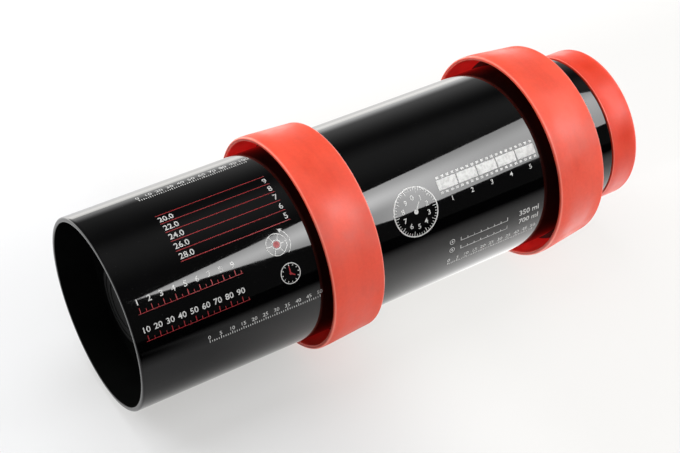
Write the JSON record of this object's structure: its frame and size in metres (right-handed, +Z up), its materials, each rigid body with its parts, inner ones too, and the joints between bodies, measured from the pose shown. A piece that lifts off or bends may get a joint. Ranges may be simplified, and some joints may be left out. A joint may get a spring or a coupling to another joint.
{
  "type": "film developing tank",
  "caption": "Round black film developing tank with an extension module, red snap rings, a funnel lid with a push-on cap, and a hollow core that carries spiral film reels.",
  "frame": {"origin": "on the surface under the middle of the lying tank, which rests on its rings", "axes": "+X along the tank's axis from the open base to the pour cap, +Z up"},
  "size_m": [0.2524, 0.0952, 0.0951],
  "materials": {
    "black_plastic": "polished",
    "red_plastic": "satin",
    "cap_red": "satin",
    "seal_rubber": "matte",
    "core_black": "satin",
    "reel_white": "satin"
  },
  "bodies": {
    "tank": {"tank_body": "black_plastic"},
    "module": {"module_body": "black_plastic", "coupling_seal": "seal_rubber", "coupling_ring": "red_plastic"},
    "lid": {"lid_funnel": "black_plastic", "lid_seal": "seal_rubber", "lid_ring": "red_plastic"},
    "cap": {"pour_cap": "cap_red"},
    "core": {"core_base": "core_black", "core_extension": "core_black", "reel_1_lower": "reel_white", "reel_2_lower": "reel_white", "reel_3_lower": "reel_white", "reel_4_lower": "reel_white", "reel_5_lower": "reel_white"},
    "reel_1": {"reel_1_upper": "reel_white"},
    "reel_2": {"reel_2_upper": "reel_white"},
    "reel_3": {"reel_3_upper": "reel_white"},
    "reel_4": {"reel_4_upper": "reel_white"},
    "reel_5": {"reel_5_upper": "reel_white"}
  },
  "joints": [
    {"name": "module_slide", "type": "slide", "parent": "tank", "child": "module", "axis": [1, 0, 0], "range_m": [0, 0.13]},
    {"name": "lid_slide", "type": "slide", "parent": "module", "child": "lid", "axis": [1, 0, 0], "range_m": [0, 0.06]},
    {"name": "cap_slide", "type": "slide", "parent": "lid", "child": "cap", "axis": [1, 0, 0], "range_m": [0, 0.03]},
    {"name": "core_spin", "type": "hinge", "parent": "tank", "child": "core", "pos_m": [-0.10515, 0, 0.04758], "axis": [1, 0, 0], "continuous": true},
    {"name": "reel_1_twist", "type": "hinge", "parent": "core", "child": "reel_1", "pos_m": [-0.10515, 0, 0.04758], "axis": [1, 0, 0], "range_deg": [0, 35]},
    {"name": "reel_2_twist", "type": "hinge", "parent": "core", "child": "reel_2", "pos_m": [-0.10515, 0, 0.04758], "axis": [1, 0, 0], "range_deg": [0, 35]},
    {"name": "reel_3_twist", "type": "hinge", "parent": "core", "child": "reel_3", "pos_m": [-0.10515, 0, 0.04758], "axis": [1, 0, 0], "range_deg": [0, 35]},
    {"name": "reel_4_twist", "type": "hinge", "parent": "core", "child": "reel_4", "pos_m": [-0.10515, 0, 0.04758], "axis": [1, 0, 0], "range_deg": [0, 35]},
    {"name": "reel_5_twist", "type": "hinge", "parent": "core", "child": "reel_5", "pos_m": [-0.10515, 0, 0.04758], "axis": [1, 0, 0], "range_deg": [0, 35]}
  ]
}
